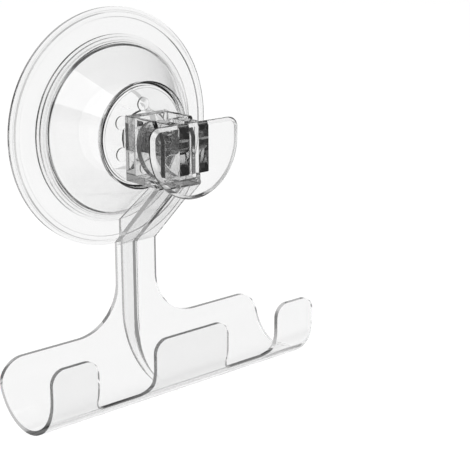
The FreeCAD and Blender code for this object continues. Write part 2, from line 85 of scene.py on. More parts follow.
look = Vector((-math.sin(camera_azimuth) * math.cos(camera_elevation),
               math.cos(camera_azimuth) * math.cos(camera_elevation),
               -math.sin(camera_elevation)))
camera = bpy.data.objects.new("camera", bpy.data.cameras.new("camera"))
camera.data.sensor_width = sensor_width
camera.data.lens = focal_length
camera.data.clip_start = 10 * mm
camera.location = camera_place
camera.rotation_mode = "QUATERNION"
camera.rotation_quaternion = look.to_track_quat("-Z", "Y")
bpy.context.scene.collection.objects.link(camera)
bpy.context.scene.camera = camera
bpy.context.scene.view_settings.view_transform = "Standard"
print("camera looks along", [round(x, 3) for x in look])

# %% [markdown]
# ## Short calls for node trees
# Shader trees are easier to read when each node is made by one short call. `add_node` makes a node, sets
# its plain settings, and either writes a value into an input or joins it to another node's output. The
# others are for the three kinds of node that come up again and again: a sum, a smooth step and a blend of
# two numbers.

# %% Helpers for node trees
def add_node(tree, kind, settings=None, inputs=None):
    node = tree.nodes.new(kind)
    for name, value in (settings or {}).items():
        setattr(node, name, value)
    for name, value in (inputs or {}).items():
        socket = node.inputs[name]
        if isinstance(value, bpy.types.NodeSocket):
            tree.links.new(value, socket)
        else:
            socket.default_value = value
    return node


def math_node(tree, operation, first, second=0.0, third=0.0):
    values = {0: first, 1: second}
    if operation == "MULTIPLY_ADD":
        values[2] = third
    return add_node(tree, "ShaderNodeMath", {"operation": operation}, values).outputs[0]


def ramp_between(tree, value, low, high, at_low, at_high):
    """A smooth step from at_low to at_high while the value goes from low to high."""
    node = add_node(tree, "ShaderNodeMapRange", {"interpolation_type": "SMOOTHSTEP"},
                    {"Value": value, "From Min": low, "From Max": high, "To Min": at_low, "To Max": at_high})
    return node.outputs["Result"]


def blend(tree, share, first, second):
    """The first number where the share is 0, the second where it is 1."""
    return add_node(tree, "ShaderNodeMix", {"data_type": "FLOAT"}, {0: share, 2: first, 3: second}).outputs[0]


# %% [markdown]
# ## The studio
# Clear plastic has no colour of its own: it shows the room. A photographer lights it in front of a bright
# sheet and keeps the rest of the room darker. What the plastic lets straight through stays white, and
# what its edges bend aside turns grey. The world below does the same. The camera sees plain white,
# diffuse surfaces get an even light, and only what clear or glossy surfaces see has darker stretches: the
# ceiling, the ground, and upright gaps between the bright panels that stand round the object. Painting
# the edges grey in the material would be easier, but the grey would stay where it is when the hook is
# turned or the lever opens.
#
# One panel stands just where the camera's rays leave the plastic, and gaps lie where a side wall of the
# plastic would mirror them to. An odd count puts a gap opposite each panel.

# %% Light levels
even_light = 0.44
panel_light, gap_light = 0.97, 0.16
ceiling_light, ground_light = 0.30, 0.50
panel_count = 7
panel_turn = math.radians(-3.1)
gap_from, gap_to = 0.45, 0.8
ceiling_from, ceiling_to = math.sin(math.radians(4)), math.sin(math.radians(22))
ground_from, ground_to = math.sin(math.radians(-40)), math.sin(math.radians(-65))
panel_spacing = 360 / panel_count
print("panel centres at", [round(panel_spacing * k + math.degrees(panel_turn)) for k in range(panel_count)])

# %% [markdown]
# Two things soften this room. The panel that the flat faces mirror towards the camera is turned down, as
# the picture shows those faces a little grey. And light that passed the plastic without being mirrored
# inside it sees a brighter room than light that was, so that flat walls stay clear from every side.

# %% Softening
dim_azimuth = math.radians(-48.3)
dim_share = 0.4
dim_from, dim_to = math.cos(math.radians(50)), math.cos(math.radians(20))
straight_share = 0.5
print("the dimmed panel keeps", dim_share, "of its light, straight light sees", straight_share, "more white")

# %% The world
world = bpy.data.worlds.new("studio")
world.use_nodes = True
bpy.context.scene.world = world
tree = world.node_tree
tree.nodes.clear()
path = add_node(tree, "ShaderNodeLightPath").outputs
direction = add_node(tree, "ShaderNodeTexCoord").outputs["Generated"]
parts = add_node(tree, "ShaderNodeSeparateXYZ", None, {0: direction}).outputs
around = math_node(tree, "ARCTAN2", parts["Y"], parts["X"])
turned = math_node(tree, "MULTIPLY_ADD", around, panel_count, -panel_turn * panel_count)
wave = math_node(tree, "COSINE", turned)
walls = ramp_between(tree, math_node(tree, "MULTIPLY", wave, -1.0), gap_from, gap_to, panel_light, gap_light)
towards_dim = math_node(tree, "COSINE", math_node(tree, "SUBTRACT", around, dim_azimuth))
walls = math_node(tree, "MULTIPLY", walls, ramp_between(tree, towards_dim, dim_from, dim_to, 1.0, dim_share))
above = ramp_between(tree, parts["Z"], ceiling_from, ceiling_to, 0.0, 1.0)
below = ramp_between(tree, parts["Z"], ground_to, ground_from, 1.0, 0.0)
room = blend(tree, below, blend(tree, above, walls, ceiling_light), ground_light)
straight = math_node(tree, "LESS_THAN", path["Glossy Depth"], 0.5)
room = blend(tree, math_node(tree, "MULTIPLY", straight, straight_share), room, 1.0)
sees_room = math_node(tree, "MAXIMUM", path["Is Glossy Ray"], path["Is Transmission Ray"])
shown = blend(tree, path["Is Camera Ray"], blend(tree, sees_room, even_light, room), 1.0)
sky = add_node(tree, "ShaderNodeBackground", None, {"Color": (1.0, 1.0, 1.0, 1.0), "Strength": shown})
add_node(tree, "ShaderNodeOutputWorld", None, {"Surface": sky.outputs[0]})
print("studio with", panel_count, "bright panels,", len(tree.nodes), "nodes")

# %% [markdown]
# ## The floor
# It is a plain sheet of white paper just under the hook, and takes the hook's soft shadow. The paper
# glows a little where it is seen, so that it meets the white background without an edge, and clear
# plastic mostly sees the room through it. A curved backdrop would hide that edge too, but it would stand
# in the way of the views from behind.

# %% Floor
floor_drop = 0.1
floor_level = cad_low.z - floor_drop * mm
floor_half = 3.0
floor_colour = 0.8
floor_glow = 0.61
floor_seen_through = 0.85

floor_mesh = bpy.data.meshes.new("floor")
floor_mesh.from_pydata([(-floor_half, -floor_half, floor_level), (floor_half, -floor_half, floor_level),
                        (floor_half, floor_half, floor_level), (-floor_half, floor_half, floor_level)],
                       [], [(0, 1, 2, 3)])
floor = bpy.data.objects.new("floor", floor_mesh)
bpy.context.scene.collection.objects.link(floor)
paper = bpy.data.materials.new("white_paper")
paper.use_nodes = True
tree = paper.node_tree
tree.nodes.clear()
path = add_node(tree, "ShaderNodeLightPath").outputs
clear_sees = math_node(tree, "MAXIMUM", path["Is Glossy Ray"], path["Is Transmission Ray"])
seen = math_node(tree, "MAXIMUM", path["Is Camera Ray"], clear_sees)
diffuse = add_node(tree, "ShaderNodeBsdfDiffuse", None, {"Color": (floor_colour,) * 3 + (1.0,)})
glow = add_node(tree, "ShaderNodeEmission", None, {"Strength": math_node(tree, "MULTIPLY", seen, floor_glow)})
both = add_node(tree, "ShaderNodeAddShader", None, {0: diffuse.outputs[0], 1: glow.outputs[0]})
beyond = add_node(tree, "ShaderNodeBsdfTransparent")
mixed = add_node(tree, "ShaderNodeMixShader", None,
                 {0: math_node(tree, "MULTIPLY", clear_sees, floor_seen_through),
                  1: both.outputs[0], 2: beyond.outputs[0]})
add_node(tree, "ShaderNodeOutputMaterial", None, {"Surface": mixed.outputs[0]})
floor.data.materials.append(paper)
print("floor at", round(floor_level, 4))

# %% [markdown]
# ## The lamp
# One large soft box stands to the left, above and well away, so its light is even and the hook's shadow
# soft. A small lamp would draw hard white spots and a sharp shadow, which the picture doesn't have.

# %% Lamp
lamp_power = 16.0
lamp_size = 1.8
lamp_place = (-1.5, -1.1, 1.9)

lamp = bpy.data.objects.new("soft_box", bpy.data.lights.new("soft_box", "AREA"))
lamp.data.energy = lamp_power
lamp.data.shape = "SQUARE"
lamp.data.size = lamp_size
lamp.location = lamp_place
lamp.rotation_mode = "QUATERNION"
lamp.rotation_quaternion = (-Vector(lamp_place)).to_track_quat("-Z", "Y")
bpy.context.scene.collection.objects.link(lamp)
print("lamp", round(Vector(lamp_place).length, 2), "m away")

# %% [markdown]
# ## Clear plastic
# A moulded piece is never quite even. Where the melt flowed, its skin has long shallow waves, and small
# patches of it are a little duller than the rest. Both are noise on the object's own coordinates, far too
# fine to change the outline, so they bend what shows through the plastic just enough to look moulded.

# %% The skin a mould leaves
haze_scale = 220.0
flow_scale = 70.0
dull_from, dull_to = 0.45, 0.75


def moulded_skin(tree, roughness, haze, ripple):
    place = add_node(tree, "ShaderNodeTexCoord").outputs["Object"]
    cloud = add_node(tree, "ShaderNodeTexNoise", None,
                     {"Vector": place, "Scale": haze_scale, "Detail": 3.0, "Roughness": 0.6})
    dull = ramp_between(tree, cloud.outputs[0], dull_from, dull_to, roughness, roughness + haze)
    flow = add_node(tree, "ShaderNodeTexNoise", None,
                    {"Vector": place, "Scale": flow_scale, "Detail": 1.0, "Distortion": 0.4})
    waves = add_node(tree, "ShaderNodeBump", None,
                     {"Strength": 1.0, "Distance": ripple, "Height": flow.outputs[0]})
    return dull, waves.outputs[0]


# %% [markdown]
# The body is refracting glass with the index of the real plastic. Three things are added to it. Shadow
# rays pass with a slight loss, so that the shadow stays pale as the picture has it. A ray that was
# mirrored many times inside is let out with `trapped_light` of its strength: without that it would end
# black, and the value says how dark the cut edges look. And a little absorption makes thick plastic
# greyer than thin.

# %% Clear plastic
most_reflections = 4
shadow_loss = 0.95
grey_step = 0.1


def clear_plastic(name, index, tint, trapped_light, greyness=0.0, roughness=0.0, haze=0.02, ripple=0.03):
    """Tint is the share of light a pane lets by, greyness its absorption per metre, ripple in mm."""
    material = bpy.data.materials.new(name)
    material.use_nodes = True
    tree = material.node_tree
    tree.nodes.clear()
    dull, waves = moulded_skin(tree, roughness, haze, ripple * mm)
    body = add_node(tree, "ShaderNodeBsdfPrincipled", None,
                    {"Base Color": (tint, tint, tint, 1.0), "Roughness": dull, "IOR": index,
                     "Transmission Weight": 1.0, "Normal": waves})
    path = add_node(tree, "ShaderNodeLightPath").outputs
    trapped = math_node(tree, "GREATER_THAN", path["Glossy Depth"], most_reflections - 0.5)
    loss = math_node(tree, "MULTIPLY_ADD", trapped, trapped_light - shadow_loss, shadow_loss)
    through = add_node(tree, "ShaderNodeBsdfTransparent", None, {"Color": loss})
    lets_by = math_node(tree, "MAXIMUM", path["Is Shadow Ray"], trapped)
    mixed = add_node(tree, "ShaderNodeMixShader", None,
                     {0: lets_by, 1: body.outputs[0], 2: through.outputs[0]})
    output = add_node(tree, "ShaderNodeOutputMaterial", None, {"Surface": mixed.outputs[0]})
    if greyness:
        inside = add_node(tree, "ShaderNodeVolumeAbsorption", None,
                          {"Color": (1 - grey_step,) * 3 + (1.0,), "Density": greyness / grey_step})
        tree.links.new(inside.outputs[0], output.inputs["Volume"])
    return material


rigid_index, soft_index = 1.50, 1.45
arm_clear = clear_plastic("arm_clear_plastic", rigid_index, 0.98, 0.65, greyness=4.0)
cover_clear = clear_plastic("cover_clear_plastic", rigid_index, 1.0, 0.1, greyness=12.0)
plate_clear = clear_plastic("plate_clear_plastic", rigid_index, 1.0, 0.75, greyness=7.0)
# The cheeks take the plate's plastic with trapped light let out darker: a painted shade in the lock.
cheek_painted_shade = clear_plastic("cheek_clear_plastic", rigid_index, 1.0, 0.1, greyness=7.0)
# The stem and pin let only a little light by: a painted shade for the dark lock seen through the head.
stem_painted_shade = clear_plastic("stem_clear_plastic", rigid_index, 0.12, 0.05)
soft_clear = clear_plastic("soft_clear_plastic", soft_index, 0.975, 0.1, roughness=0.01, ripple=0.05)
print("clear plastics:", [m.name for m in bpy.data.materials if "plastic" in m.name])

# %% [markdown]
# Two more stand for plastic whose surface hardly shows. The plate's rim takes one of them as a painted
# highlight: its faces let trapped light out almost whole, so it shows as a light line. The foot of the stem
# is moulded into the cup's soft boss: the two plastics wet each other, and the eye looks through both as if
# they weren't there. Their low index isn't the plastic's own. It is the simplest way to keep such faces from
# mirroring.

# %% Plastic that hardly shows, and the rim's painted highlight
rim_index, boss_index = 1.12, 1.01
# The rim's plastic is a painted highlight: its low index and bright trapped light draw the rim white.
rim_painted_highlight = clear_plastic("rim_clear_plastic", rim_index, 1.0, 0.9, greyness=7.0)
boss_clear = clear_plastic("boss_clear_plastic", boss_index, 1.0, 0.5)
print("rim index", rim_index, "and boss index", boss_index)

# %% [markdown]
# ## Outlines with soft corners
# Every shape below starts as an outline of corners: (across, up), or (across, up, radius) where the
# corner is softened. A mould's edges are never sharp, and the small arcs are what draws the fine lines of
# light in clear plastic. Large arcs get many short steps and small ones a few.

# %% From corners to points
small_radius = 1.0
coarse_step, fine_step = math.radians(22), math.radians(5)


def corner_arc(before, here, after, radius):
    back, onward = (before - here).normalized(), (after - here).normalized()
    turn = math.pi - back.angle(onward)
    start, stop = here + back * radius * math.tan(turn / 2), here + onward * radius * math.tan(turn / 2)
    centre = here + (back + onward).normalized() * radius / math.cos(turn / 2)
    first = math.atan2(start.y - centre.y, start.x - centre.x)
    last = math.atan2(stop.y - centre.y, stop.x - centre.x)
    sweep = (last - first + math.pi) % math.tau - math.pi
    steps = max(2, math.ceil(turn / (coarse_step if radius < small_radius else fine_step)))
    angles = [first + sweep * k / steps for k in range(steps + 1)]
    return [centre + Vector((math.cos(angle), math.sin(angle))) * radius for angle in angles]


def corner_points(corners, index):
    here = Vector(corners[index][:2])
    if len(corners[index]) < 3:
        return [here]
    before, after = Vector(corners[index - 1][:2]), Vector(corners[(index + 1) % len(corners)][:2])
    return corner_arc(before, here, after, corners[index][2])


print("a corner of 0.5 mm has", len(corner_points([(0, 0), (9, 0, 0.5), (9, 9)], 1)), "points")

# %% [markdown]
# ## Turned pieces
# The cup and the cover are round, so a lathe would make them: one outline, swept once round the wall's
# normal. A node tree does that here. It wraps a grid of points round the axis: each column of the grid
# takes the outline's points, turned by its share of the full circle. The Screw modifier could do it too,
# but the tree also carries a mark along the outline that says which part gets which plastic.

# %% A tree with named inputs
def new_tree(name, inputs, output):
    """An empty tree for meshes, with the sockets that its inputs come in by."""
    tree = bpy.data.node_groups.new(name, "GeometryNodeTree")
    for label, kind in inputs.items():
        tree.interface.new_socket(label, in_out="INPUT", socket_type="NodeSocket" + kind)
    tree.interface.new_socket(output, in_out="OUTPUT", socket_type="NodeSocketGeometry")
    return tree, add_node(tree, "NodeGroupInput").outputs


# %% The lathe tree
weld_distance = 0.001 * mm
inner_share = 0.75


def lathe_tree():
    tree, given = new_tree("lathe", {"Outline": "Geometry", "Segments": "Int", "Outer Material": "Material",
                                     "Inner Material": "Material"}, "Turned")
    count = add_node(tree, "GeometryNodeAttributeDomainSize", {"component": "MESH"}, {0: given["Outline"]})
    rows = count.outputs["Point Count"]
    columns = math_node(tree, "ADD", given["Segments"], 1.0)
    grid = add_node(tree, "GeometryNodeMeshGrid", None, {"Vertices X": columns, "Vertices Y": rows})
    index = add_node(tree, "GeometryNodeInputIndex").outputs[0]
    column = math_node(tree, "FLOOR", math_node(tree, "DIVIDE", math_node(tree, "ADD", index, 0.5), rows))
    row = math_node(tree, "SUBTRACT", index, math_node(tree, "MULTIPLY", column, rows))
    place = add_node(tree, "GeometryNodeInputPosition").outputs[0]
    taken = add_node(tree, "GeometryNodeSampleIndex", {"data_type": "FLOAT_VECTOR"},
                     {"Geometry": given["Outline"], "Value": place, "Index": row}).outputs[0]
    point = add_node(tree, "ShaderNodeSeparateXYZ", None, {0: taken}).outputs
    angle = math_node(tree, "DIVIDE", math_node(tree, "MULTIPLY", column, math.tau), given["Segments"])
    across = math_node(tree, "MULTIPLY", point["X"], math_node(tree, "COSINE", angle))
    upward = math_node(tree, "MULTIPLY", point["X"], math_node(tree, "SINE", angle))
    spot = add_node(tree, "ShaderNodeCombineXYZ", None,
                    {"X": across, "Y": point["Y"], "Z": upward}).outputs[0]
    tagged = add_node(tree, "GeometryNodeStoreNamedAttribute", {"data_type": "FLOAT", "domain": "POINT"},
                      {"Geometry": grid.outputs["Mesh"], "Name": "inside", "Value": point["Z"]})
    moved = add_node(tree, "GeometryNodeSetPosition", None, {"Geometry": tagged.outputs[0], "Position": spot})
    welded = add_node(tree, "GeometryNodeMergeByDistance", None,
                      {"Geometry": moved.outputs[0], "Distance": weld_distance})
    real = add_node(tree, "GeometryNodeRealizeInstances", None, {0: welded.outputs[0]})
    outer = add_node(tree, "GeometryNodeSetMaterial", None,
                     {"Geometry": real.outputs[0], "Material": given["Outer Material"]})
    inside = add_node(tree, "GeometryNodeInputNamedAttribute", {"data_type": "FLOAT"}, {"Name": "inside"})
    deep = math_node(tree, "GREATER_THAN", inside.outputs[0], inner_share)
    inner = add_node(tree, "GeometryNodeSetMaterial", None,
                     {"Geometry": outer.outputs[0], "Selection": deep, "Material": given["Inner Material"]})
    add_node(tree, "NodeGroupOutput", None, {0: inner.outputs[0]})
    return tree


lathe = lathe_tree()
print("lathe tree with", len(lathe.nodes), "nodes")

# %% [markdown]
# ## From an outline to a mesh
# A turned piece starts as a string of points, with the mark for the inner part stored where the third
# number would be. The tree does the turning, and its result is then kept as a plain mesh, so that later
# cuts work on real faces. A mesh whose faces look inwards has a negative volume, which is put right by
# flipping them.

# %% From an outline to a mesh
def set_input(modifier, name, value):
    for item in modifier.node_group.interface.items_tree:
        if item.name == name and item.in_out == "INPUT":
            modifier[item.identifier] = value


def new_piece(name, mesh):
    piece = bpy.data.objects.new(name, mesh)
    bpy.context.scene.collection.objects.link(piece)
    return piece


def plain_mesh(piece):
    """Replaces a piece's mesh by what its modifiers made of it, and removes the modifiers."""
    made = piece.evaluated_get(bpy.context.evaluated_depsgraph_get())
    mesh = bpy.data.meshes.new_from_object(made)
    mesh.name = piece.name
    piece.modifiers.clear()
    piece.data = mesh
    return mesh


def volume_of(mesh):
    work = bmesh.new()
    work.from_mesh(mesh)
    volume = work.calc_volume(signed=True)
    work.free()
    return volume


large_segments, small_segments = 192, 48


def turned_piece(name, outer_corners, inner_corners, outer, inner, segments=large_segments):
    """Turns an outline of (radius, depth) corners: first those outside, then those inside."""
    corners = outer_corners + inner_corners
    tagged = [(p.x * mm, -p.y * mm, float(k >= len(outer_corners)))
              for k in range(len(corners)) for p in corner_points(corners, k)]
    mesh = bpy.data.meshes.new(name)
    mesh.from_pydata(tagged, [(i, i + 1) for i in range(len(tagged) - 1)], [])
    piece = new_piece(name, mesh)
    turning = piece.modifiers.new("turning", "NODES")
    turning.node_group = lathe
    set_input(turning, "Segments", segments)
    set_input(turning, "Outer Material", outer)
    set_input(turning, "Inner Material", inner)
    mesh = plain_mesh(piece)
    if volume_of(mesh) < 0:
        mesh.flip_normals()
    print(name, len(mesh.polygons), "faces,", round(volume_of(mesh) / mm ** 3), "cubic mm")
    return piece


# %% [markdown]
# ## The suction cup
# The cup is soft and thin, and lies flat on the wall. Its lip ends in fine ridges and a groove, which
# catch the light as rings, and its middle swells into a boss. In the mould the boss closes round the
# stem's foot, so the foot's room and the shaft's room are cut out of it with the same clearances as in
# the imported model.

# %% Cup outline
cup_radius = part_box("suction_cup")[1].z / mm
cup_depth = -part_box("suction_cup")[0].y / mm
boss_foot = 14.5
cup = turned_piece("soft_cup", [
    (0, 1.2),
    (boss_foot, 1.2),
    (28.5, 1.2, 6.0),
    (37.5, 0, 4.0),
    (cup_radius, 0, 0.2),
    (cup_radius, 1.3, 0.3),
    (41.4, 1.5, 0.3),
    (41.2, 1.2, 0.15),
    (40.9, 1.3, 0.15),
    (40.5, 2.1, 0.3),
    (39.2, 2.2, 0.2),
    (38.9, 1.6, 0.15),
    (38.0, 1.9, 0.5),
    (34.3, 2.45, 0.5),
    (25.0, 2.5, 4.0),
], [
    (12.5, 7.0, 3.0),
    (10.5, cup_depth, 2.0),
    (0, cup_depth),
], soft_clear, boss_clear)

# %% [markdown]
# ## Cutting
# Rooms for other pieces are cut out with an exact solid cut, which keeps the mesh closed. A closed mesh
# matters here: light that enters clear plastic through a hole in the mesh never finds its way out. The
# cut takes over the cutter's plastic for the new faces, so a room can be lined with another plastic than
# the piece.

# %% Cutting
def clad(mesh, material, chosen):
    """Gives the chosen faces a material of their own."""
    mesh.materials.append(material)
    for polygon in mesh.polygons:
        if chosen(polygon):
            polygon.material_index = len(mesh.materials) - 1


def cut(piece, cutter, operation="DIFFERENCE"):
    boolean = piece.modifiers.new("cut", "BOOLEAN")
    boolean.operation = operation
    boolean.solver = "EXACT"
    boolean.material_mode = "TRANSFER"
    boolean.object = cutter
    plain_mesh(piece)
    bpy.data.objects.remove(cutter)


def block(name, low, high, material):
    """A plain box between two corners in mm, used only to cut with."""
    mesh = bpy.data.meshes.new(name)
    work = bmesh.new()
    bmesh.ops.create_cube(work, size=1.0)
    for vert in work.verts:
        vert.co = Vector([low[k] if vert.co[k] < 0 else high[k] for k in range(3)]) * mm
    work.to_mesh(mesh)
    work.free()
    mesh.materials.append(material)
    return new_piece(name, mesh)


# %% Rooms for the stem
shaft_half = 5.0
shaft_low, shaft_high = -4.3, 3.3
foot_radius, foot_back, foot_front = 8.03, 4.99, 7.01
moulded_gap = 0.03
cut_past = 1.0


def shaft_room(near, far, gap, material):
    return block("shaft_room", (-shaft_half - gap, -far, shaft_low - gap),
                 (shaft_half + gap, -near, shaft_high + gap), material)


clad(cup.data, boss_clear, lambda face: math.hypot(face.center.x, face.center.z) < boss_foot * mm)
cut(cup, turned_piece("foot_room", [(0, foot_back), (foot_radius, foot_back), (foot_radius, foot_front),
                                    (0, foot_front)], [], boss_clear, boss_clear))
cut(cup, shaft_room(foot_front - cut_past, cup_depth + cut_past, moulded_gap, boss_clear))
print("cup", round(volume_of(cup.data) / mm ** 3), "cubic mm")

# %% [markdown]
# ## Finishing a piece
# Smooth shading rounds off every edge below the sharp angle, and weighted normals keep the flat faces
# flat beside the small arcs. Each piece then hides the imported piece it stands for and is hung on the
# body that carries it.

# %% Finishing a piece
sharp_turn = math.radians(32)


def shade(piece, turn, keep_sharp):
    piece.data.shade_smooth()
    piece.data.set_sharp_from_angle(angle=turn)
    weights = piece.modifiers.new("flat_faces", "WEIGHTED_NORMAL")
    weights.keep_sharp = keep_sharp


def stand_for(piece, node, body):
    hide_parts(node)
    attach(piece, body)
    print(piece.name, len(piece.data.polygons), "faces,", round(volume_of(piece.data) / mm ** 3), "cubic mm")


def finish(piece, node, body):
    shade(piece, sharp_turn, True)
    stand_for(piece, node, body)


finish(cup, "suction_cup", "cup_side")

# %% [markdown]
# ## The cover
# A stiff shell over the cup. Its foot goes down in small steps, which show as fine rings close together.
# The front face is set back a little behind a raised edge, and a groove 1 mm wide runs just inside it:
# its steep walls send light into the dark gaps of the room, which gives the crisp dark ring of the real
# cover.

# %% Cover outline
face_depth = -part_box("dome_cover")[0].y / mm
cover_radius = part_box("dome_cover")[1].z / mm
recess, shell_wall, groove_deep, slot_deep, line_deep = 0.8, 2.0, 0.7, 0.5, 0.15
face_floor = face_depth - recess
inner_face = face_floor - shell_wall
groove_floor = face_floor - groove_deep
slot_floor, line_floor = face_floor - slot_deep, face_floor - line_deep
edge_radius, groove_radius, collar_radius = 18.75, 18.2, 8.8
cover = turned_piece("cover_shell", [
    (0, face_depth),
    (collar_radius, face_depth, 0.15),
    (collar_radius, slot_floor, 0.1),
    (9.2, slot_floor, 0.1),
    (9.25, face_floor, 0.05),
    (16.3, face_floor, 0.05),
    (16.4, line_floor, 0.05),
    (16.5, face_floor, 0.05),
    (17.15, face_floor, 0.05),
    (17.2, groove_floor, 0.1),
    (groove_radius, groove_floor, 0.1),
    (groove_radius, face_depth, 0.12),
    (edge_radius, face_depth, 0.45),
    (30.6, 5.7, 0.15),
    (30.75, 5.15, 0.08),
    (31.3, 5.1, 0.2),
    (31.3, 4.4, 0.1),
    (32.3, 4.4, 0.2),
    (32.3, 3.6, 0.1),
    (cover_radius, 3.6, 0.2),
    (cover_radius, 2.6, 0.15),
    (28.6, 2.6, 0.3),
], [
    (28.5, 4.6, 1.0),
    (17.5, inner_face, 0.3),
    (0, inner_face),
], cover_clear, cover_clear)

# %% [markdown]
# Six small round lobes stand in a ring round the collar. They repeat by a rule, so a node tree places
# them: it puts a point at each sixth of the circle and copies one turned lobe onto each. Their feet sink
# into the face, so that the solid join has no two faces in one plane.

# %% Lobes round the collar
lobe_count = 6
lobe_pitch = 10.9
lobe_radius, lobe_height, lobe_foot = 2.4, 0.6, 1.0


def lobe_tree():
    tree, given = new_tree("lobe_ring", {"Lobe": "Geometry", "Count": "Int", "Pitch Radius": "Float",
                                         "Material": "Material"}, "Ring")
    spots = add_node(tree, "GeometryNodePoints", None, {"Count": given["Count"]})
    index = add_node(tree, "GeometryNodeInputIndex").outputs[0]
    angle = math_node(tree, "DIVIDE", math_node(tree, "MULTIPLY", index, math.tau), given["Count"])
    across = math_node(tree, "MULTIPLY", given["Pitch Radius"], math_node(tree, "SINE", angle))
    upward = math_node(tree, "MULTIPLY", given["Pitch Radius"], math_node(tree, "COSINE", angle))
    spot = add_node(tree, "ShaderNodeCombineXYZ", None, {"X": across, "Z": upward}).outputs[0]
    placed = add_node(tree, "GeometryNodeSetPosition", None, {"Geometry": spots.outputs[0], "Position": spot})
    copies = add_node(tree, "GeometryNodeInstanceOnPoints", None,
                      {"Points": placed.outputs[0], "Instance": given["Lobe"]})
    real = add_node(tree, "GeometryNodeRealizeInstances", None, {0: copies.outputs[0]})
    covered = add_node(tree, "GeometryNodeSetMaterial", None,
                       {"Geometry": real.outputs[0], "Material": given["Material"]})
    add_node(tree, "NodeGroupOutput", None, {0: covered.outputs[0]})
    return tree


lobes = turned_piece("lobes", [
    (0, face_floor - lobe_foot),
    (lobe_radius, face_floor - lobe_foot),
    (lobe_radius, face_floor + lobe_height, 0.1),
    (0, face_floor + lobe_height),
], [], cover_clear, cover_clear, small_segments)
ring = lobes.modifiers.new("ring", "NODES")
ring.node_group = lobe_tree()
set_input(ring, "Count", lobe_count)
set_input(ring, "Pitch Radius", lobe_pitch * mm)
set_input(ring, "Material", cover_clear)
plain_mesh(lobes)
cut(cover, lobes, "UNION")

# %% [markdown]
# The shaft slides in a rectangular hole with a small gap all round, so the cover can move on it but not
# turn.

# %% The cover's hole for the shaft
shaft_gap = 0.2
cut(cover, shaft_room(inner_face - cut_past, face_depth + cut_past, shaft_gap, cover_clear))
finish(cover, "dome_cover", "cover_side")

# %% [markdown]
# ## Stem and pin
# The stem and the pin are plain machine shapes, so their imported solids are taken as they are. Their
# facets are joined back into whole faces and the edges get a small round. Both take a dark plastic, a
# painted shade: seen through the clear head they are the darkest part of the lock. Behind the cover's face
# the stem runs into the boss and shows no more, so it is split there, and its foot takes the plastic that
# hardly shows.

# %% Stem and pin
facet_turn = math.radians(0.3)
edge_turn = math.radians(30)
machine_round, machine_steps = 0.2, 2
machine_sharp = math.radians(25)


def split_faces(mesh, place, across):
    """Cuts the faces along a plane, so that each side of it can have a material of its own."""
    work = bmesh.new()
    work.from_mesh(mesh)
    bmesh.ops.bisect_plane(work, geom=work.verts[:] + work.edges[:] + work.faces[:],
                           plane_co=place, plane_no=across)
    work.to_mesh(mesh)
    work.free()


def machine_copy(node, name, body):
    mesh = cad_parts[node].data.copy()
    mesh.name = name
    work = bmesh.new()
    work.from_mesh(mesh)
    bmesh.ops.remove_doubles(work, verts=work.verts, dist=weld_distance)
    bmesh.ops.dissolve_limit(work, angle_limit=facet_turn, verts=work.verts, edges=work.edges)
    work.to_mesh(mesh)
    work.free()
    split_faces(mesh, (0, -face_floor * mm, 0), (0, 1, 0))
    mesh.materials.clear()
    # The stem's dark plastic is a painted shade, standing for the grey that the clear lock shows through the
    # head.
    mesh.materials.append(stem_painted_shade)
    piece = new_piece(name, mesh)
    rounding = piece.modifiers.new("rounded_edges", "BEVEL")
    rounding.width = machine_round * mm
    rounding.segments = machine_steps
    rounding.limit_method = "ANGLE"
    rounding.angle_limit = edge_turn
    rounding.miter_outer = "MITER_ARC"
    shade(piece, machine_sharp, False)
    stand_for(piece, node, body)
    return piece


stem = machine_copy("stem", "stem_shaft", "cup_side")
clad(stem.data, boss_clear, lambda face: face.center.y > -face_floor * mm)
machine_copy("pivot_pin", "pin", "cup_side")

# %% [markdown]
# ## The hook arm
# The arm is one moulding. Seen from the side it is a bent sheet: down from the head at a slant, straight
# down, and round a half circle to the front. Seen from the front, the sheet is cut to a narrow neck that
# flares into the channel's back wall, and the front edge is cut into three prongs. So it is made the same
# way: the side view is pulled along the channel as one long solid, and then the front view is cut out of
# it.

# %% Pulling an outline
def prism(name, corners, axis, low, high, material):
    """A closed solid: an outline of (y, z) corners pulled along X, or of (x, z) corners pulled along Y."""
    points = [p for k in range(len(corners)) for p in corner_points(corners, k)]
    work = bmesh.new()
    ends = []
    for level in (low, high):
        spots = [(level, p.x, p.y) if axis == "X" else (p.x, level, p.y) for p in points]
        ends.append([work.verts.new(Vector(spot) * mm) for spot in spots])
    work.faces.new(ends[0])
    work.faces.new(ends[1])
    for i in range(len(points)):
        j = (i + 1) % len(points)
        work.faces.new((ends[0][i], ends[0][j], ends[1][j], ends[1][i]))
    bmesh.ops.remove_doubles(work, verts=work.verts, dist=weld_distance)
    bmesh.ops.recalc_face_normals(work, faces=work.faces)
    mesh = bpy.data.meshes.new(name)
    work.to_mesh(mesh)
    work.free()
    mesh.materials.append(material)
    return new_piece(name, mesh)


def soften(piece, width, segments=3, limit=50.0):
    """Rounds the edges that turn by more than the limit."""
    rounding = piece.modifiers.new("rounding", "BEVEL")
    rounding.width = width * mm
    rounding.segments = segments
    rounding.limit_method = "ANGLE"
    rounding.angle_limit = math.radians(limit)
    plain_mesh(piece)


# %% The bent sheet, seen from the side
half_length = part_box("hook_arm")[1].x / mm
wall = 1.65
outer_arc = 16.35
inner_arc = outer_arc - wall
back_front = -14.0
back_rear = back_front + wall
front_outer = back_rear - 2 * outer_arc
front_inner = front_outer + wall
axis_y = back_rear - outer_arc
axis_z = -74.3
floor_outer = axis_z - outer_arc
kink_z = -38.9
head_front, head_foot = -38.2, -14.7
neck_half = 8.5
slant_room = 1.1
lean = wall * math.sqrt(2)
past = 4.0

